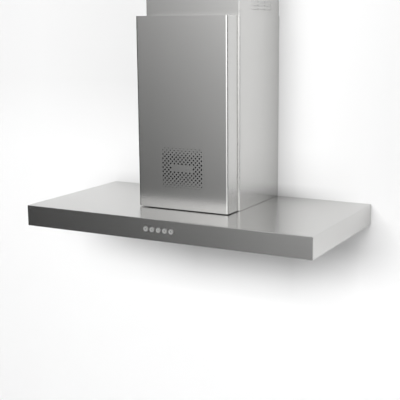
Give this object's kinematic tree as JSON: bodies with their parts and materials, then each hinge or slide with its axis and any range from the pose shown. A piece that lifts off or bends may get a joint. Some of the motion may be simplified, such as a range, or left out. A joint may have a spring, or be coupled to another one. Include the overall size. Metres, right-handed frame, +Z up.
{
  "type": "wall mount range hood",
  "caption": "Wall mount range hood: flat steel canopy with push buttons, telescopic chimney, perforated front cover, blower, round duct outlet, lamps and hinged grease filters.",
  "frame": {"origin": "on the wall plane, in the middle of the width, level with the canopy's lower edge", "axes": "+X to the right seen from the front, +Y into the wall, +Z up"},
  "size_m": [0.898, 0.462, 0.74],
  "materials": {
    "casing_steel": "brushed",
    "tray_steel": "brushed",
    "zinc_steel": "galvanised",
    "filter_metal": "satin",
    "filter_mesh": "pleated mesh",
    "lamp_metal": "cast",
    "bezel_metal": "polished",
    "lamp_glass": "frosted",
    "button_metal": "satin",
    "dark_plastic": "matt",
    "grey_plastic": "matt",
    "board": "lacquered",
    "rubber": "matt",
    "motor_metal": "satin",
    "fastener": "zinc plated"
  },
  "bodies": {
    "hood": {"canopy_shell": "casing_steel", "filter_tray": "tray_steel", "lower_chimney": "casing_steel", "front_cover": "casing_steel", "cover_baffle": "dark_plastic", "back_frame": "zinc_steel", "scroll_left": "dark_plastic", "scroll_right": "dark_plastic", "outlet_collar": "dark_plastic", "motor": "motor_metal", "motor_bracket": "zinc_steel", "motor_bushes": "rubber", "blower_mounts": "rubber", "button_housing": "dark_plastic", "control_board": "board", "button_switches": "board", "electronics_box": "grey_plastic", "electronics_lid": "grey_plastic", "capacitor": "grey_plastic", "cable_gland": "dark_plastic", "lamp_bezel_left": "bezel_metal", "lamp_bezel_right": "bezel_metal", "lamp_lens_left": "lamp_glass", "lamp_lens_right": "lamp_glass", "lamp_body_left": "lamp_metal", "lamp_body_right": "lamp_metal", "flap_pins": "fastener", "chimney_screws": "fastener", "frame_screws": "fastener", "tray_screws": "fastener", "cover_screws": "fastener", "scroll_screws": "fastener", "mount_screws": "fastener", "motor_screws": "fastener"},
    "upper_section": {"upper_chimney": "casing_steel", "upper_bracket": "zinc_steel", "bracket_screws": "fastener"},
    "fan_wheel": {"impeller": "dark_plastic", "motor_shaft": "fastener"},
    "flap_front": {"damper_flap_front": "dark_plastic"},
    "flap_rear": {"damper_flap_rear": "dark_plastic"},
    "filter_left": {"filter_frame_left": "filter_metal", "filter_core_left": "filter_mesh"},
    "filter_right": {"filter_frame_right": "filter_metal", "filter_core_right": "filter_mesh"},
    "latch_left": {"filter_latch_left": "dark_plastic"},
    "latch_right": {"filter_latch_right": "dark_plastic"},
    "button_light": {"button_light": "button_metal"},
    "button_off": {"button_off": "button_metal"},
    "button_low": {"button_low": "button_metal"},
    "button_mid": {"button_mid": "button_metal"},
    "button_high": {"button_high": "button_metal"}
  },
  "joints": [
    {"name": "upper_section_slide", "type": "slide", "parent": "hood", "child": "upper_section", "axis": [0, 0, 1], "range_m": [-0.08, 0.2]},
    {"name": "fan_spin", "type": "hinge", "parent": "hood", "child": "fan_wheel", "pos_m": [0, -0.129, 0.205], "axis": [1, 0, 0], "continuous": true},
    {"name": "flap_front_swing", "type": "hinge", "parent": "hood", "child": "flap_front", "pos_m": [0, -0.0916, 0.403], "axis": [-1, 0, 0], "range_deg": [0, 80]},
    {"name": "flap_rear_swing", "type": "hinge", "parent": "hood", "child": "flap_rear", "pos_m": [0, -0.0844, 0.403], "axis": [1, 0, 0], "range_deg": [0, 80]},
    {"name": "filter_left_swing", "type": "hinge", "parent": "hood", "child": "filter_left", "pos_m": [-0.158, -0.0805, 0.0112], "axis": [1, 0, 0], "range_deg": [0, 75]},
    {"name": "latch_left_slide", "type": "slide", "parent": "filter_left", "child": "latch_left", "axis": [0, 1, 0], "range_m": [0, 0.006], "stiffness_N_per_m": 500},
    {"name": "filter_right_swing", "type": "hinge", "parent": "hood", "child": "filter_right", "pos_m": [0.158, -0.0805, 0.0112], "axis": [1, 0, 0], "range_deg": [0, 75]},
    {"name": "latch_right_slide", "type": "slide", "parent": "filter_right", "child": "latch_right", "axis": [0, 1, 0], "range_m": [0, 0.006], "stiffness_N_per_m": 500},
    {"name": "button_light_press", "type": "slide", "parent": "hood", "child": "button_light", "axis": [0, 1, 0], "range_m": [0, 0.002], "stiffness_N_per_m": 600},
    {"name": "button_off_press", "type": "slide", "parent": "hood", "child": "button_off", "axis": [0, 1, 0], "range_m": [0, 0.002], "stiffness_N_per_m": 600},
    {"name": "button_low_press", "type": "slide", "parent": "hood", "child": "button_low", "axis": [0, 1, 0], "range_m": [0, 0.002], "stiffness_N_per_m": 600},
    {"name": "button_mid_press", "type": "slide", "parent": "hood", "child": "button_mid", "axis": [0, 1, 0], "range_m": [0, 0.002], "stiffness_N_per_m": 600},
    {"name": "button_high_press", "type": "slide", "parent": "hood", "child": "button_high", "axis": [0, 1, 0], "range_m": [0, 0.002], "stiffness_N_per_m": 600}
  ]
}
